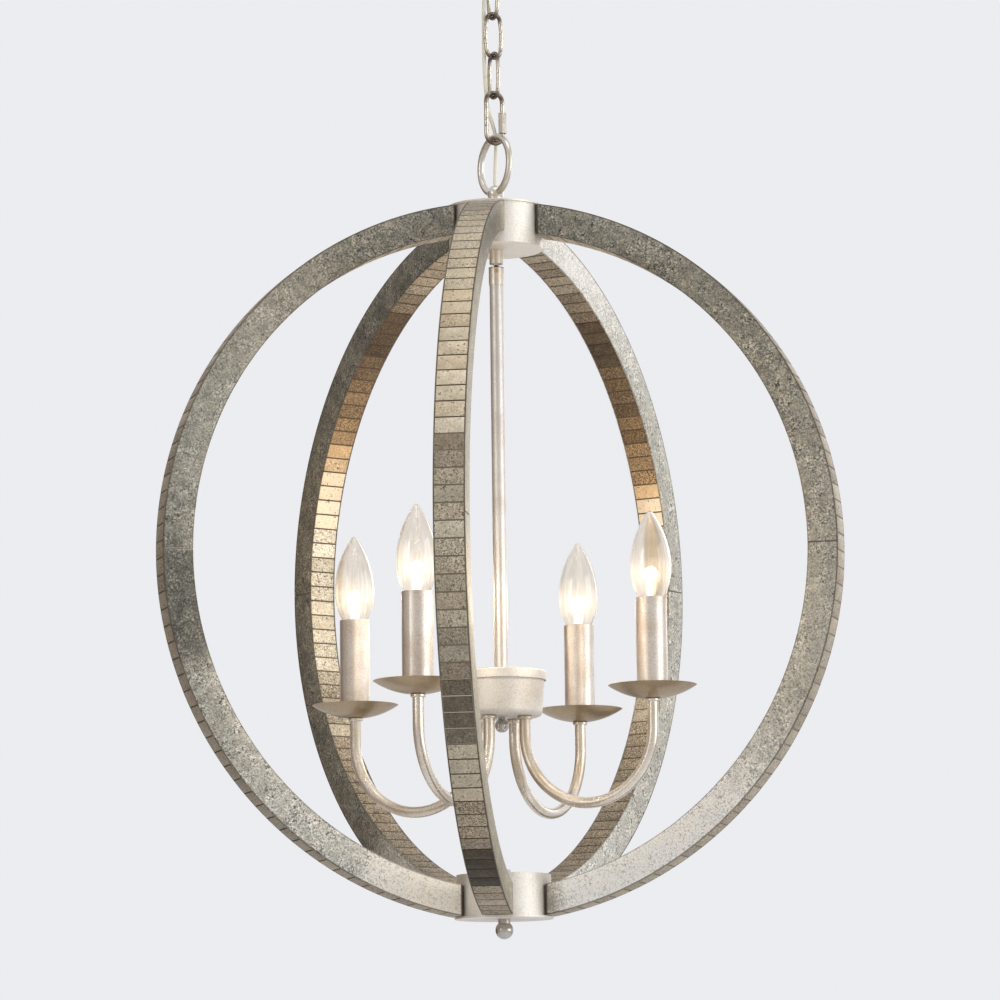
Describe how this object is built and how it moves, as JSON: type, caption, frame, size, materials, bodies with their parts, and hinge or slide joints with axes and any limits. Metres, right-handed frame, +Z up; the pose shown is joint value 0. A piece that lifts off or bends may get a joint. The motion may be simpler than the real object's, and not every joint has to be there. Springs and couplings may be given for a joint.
{
  "type": "orb chandelier",
  "caption": "Orb chandelier: slatted half-ring arches between two hubs around a candle cluster on a swivelling stem, hung on a chain from a ceiling canopy.",
  "frame": {"origin": "centre of the ceiling strap's slots, on the ceiling plane", "axes": "+Z up along the hanging axis, +X along the strap's two slots"},
  "size_m": [0.5823, 0.5625, 0.8953],
  "materials": {
    "champagne": "satin champagne silver",
    "chain_steel": "antique silver with brown patina",
    "galvanised": "mottled galvanised sheet",
    "leafed_slat": "kerfed wood under aged silver leaf",
    "zinc": "zinc plated",
    "ground_green": "green lacquer",
    "cord_jacket": "translucent pale jacket",
    "holder_plastic": "phenolic lampholder",
    "cap_plastic": "moulded splice cap",
    "clear_glass": "clear lamp glass",
    "brass": "plain brass"
  },
  "bodies": {
    "ceiling_fitting": {"mounting_strap": "zinc", "ground_screw": "ground_green", "strap_nipple": "zinc", "nipple_nut": "zinc", "canopy": "champagne", "canopy_loop": "champagne", "canopy_collar": "champagne", "supply_cord": "cord_jacket"},
    "upper_link": {"chain_link_1": "chain_steel"},
    "middle_link": {"chain_link_2": "chain_steel"},
    "lower_link": {"chain_link_3": "chain_steel"},
    "quick_link": {"quick_link": "chain_steel"},
    "sleeve_nut": {"quick_link_nut": "chain_steel"},
    "orb_frame": {"hanging_ring": "champagne", "ring_ball": "champagne", "hub_nipple": "zinc", "top_hub": "champagne", "top_hub_plate": "champagne", "bottom_hub": "champagne", "bottom_hub_plate": "champagne", "arch_screws": "zinc", "arch_side_plates": "galvanised", "bottom_finial": "champagne", "finial_nut": "zinc", "swivel_fork": "champagne", "hub_lead": "cord_jacket", "arch_1": "leafed_slat", "arch_2": "leafed_slat", "arch_3": "leafed_slat", "arch_4": "leafed_slat", "arch_5": "leafed_slat"},
    "candle_cluster": {"swivel_barrel": "champagne", "swivel_screws": "brass", "stem": "champagne", "can_lid": "champagne", "cluster_can": "champagne", "can_ball": "champagne", "can_nuts": "zinc", "arm_collars": "champagne", "candle_pans": "champagne", "candle_sleeves": "champagne", "lampholders": "holder_plastic", "lamp_leads": "cord_jacket", "splice_caps": "cap_plastic", "arm_1": "champagne", "arm_2": "champagne", "arm_3": "champagne", "arm_4": "champagne"},
    "bulb_1": {"bulb_glass_1": "clear_glass", "bulb_base_1": "brass"},
    "bulb_2": {"bulb_glass_2": "clear_glass", "bulb_base_2": "brass"},
    "bulb_3": {"bulb_glass_3": "clear_glass", "bulb_base_3": "brass"},
    "bulb_4": {"bulb_glass_4": "clear_glass", "bulb_base_4": "brass"}
  },
  "joints": [
    {"name": "upper_link_swing", "type": "hinge", "parent": "ceiling_fitting", "child": "upper_link", "pos_m": [0, 0, -0.056], "axis": [0.866, 0.5, 0], "range_deg": [-20, 20], "deforming": ["supply_cord"]},
    {"name": "middle_link_swing", "type": "hinge", "parent": "upper_link", "child": "middle_link", "pos_m": [0, 0, -0.0913], "axis": [0.5, -0.866, 0], "range_deg": [-20, 20], "deforming": ["supply_cord"]},
    {"name": "lower_link_swing", "type": "hinge", "parent": "middle_link", "child": "lower_link", "pos_m": [0, 0, -0.1268], "axis": [0.866, 0.5, 0], "range_deg": [-20, 20], "deforming": ["supply_cord"]},
    {"name": "quick_link_swing", "type": "hinge", "parent": "lower_link", "child": "quick_link", "pos_m": [0, 0, -0.1623], "axis": [0.5, -0.866, 0], "range_deg": [-20, 20], "deforming": ["supply_cord"]},
    {"name": "quick_link_nut_run", "type": "slide", "parent": "quick_link", "child": "sleeve_nut", "axis": [0, 0, 1], "range_m": [0, 0.009]},
    {"name": "orb_swing", "type": "hinge", "parent": "quick_link", "child": "orb_frame", "pos_m": [0, 0, -0.2032], "axis": [0.866, 0.5, 0], "range_deg": [-20, 20], "deforming": ["supply_cord"]},
    {"name": "stem_swivel", "type": "hinge", "parent": "orb_frame", "child": "candle_cluster", "pos_m": [0, 0, -0.3177], "axis": [0, 1, 0], "range_deg": [-8, 8]},
    {"name": "bulb_1_unscrew", "type": "slide", "parent": "candle_cluster", "child": "bulb_1", "axis": [0, 0, 1], "range_m": [0, 0.026]},
    {"name": "bulb_2_unscrew", "type": "slide", "parent": "candle_cluster", "child": "bulb_2", "axis": [0, 0, 1], "range_m": [0, 0.026]},
    {"name": "bulb_3_unscrew", "type": "slide", "parent": "candle_cluster", "child": "bulb_3", "axis": [0, 0, 1], "range_m": [0, 0.026]},
    {"name": "bulb_4_unscrew", "type": "slide", "parent": "candle_cluster", "child": "bulb_4", "axis": [0, 0, 1], "range_m": [0, 0.026]}
  ]
}
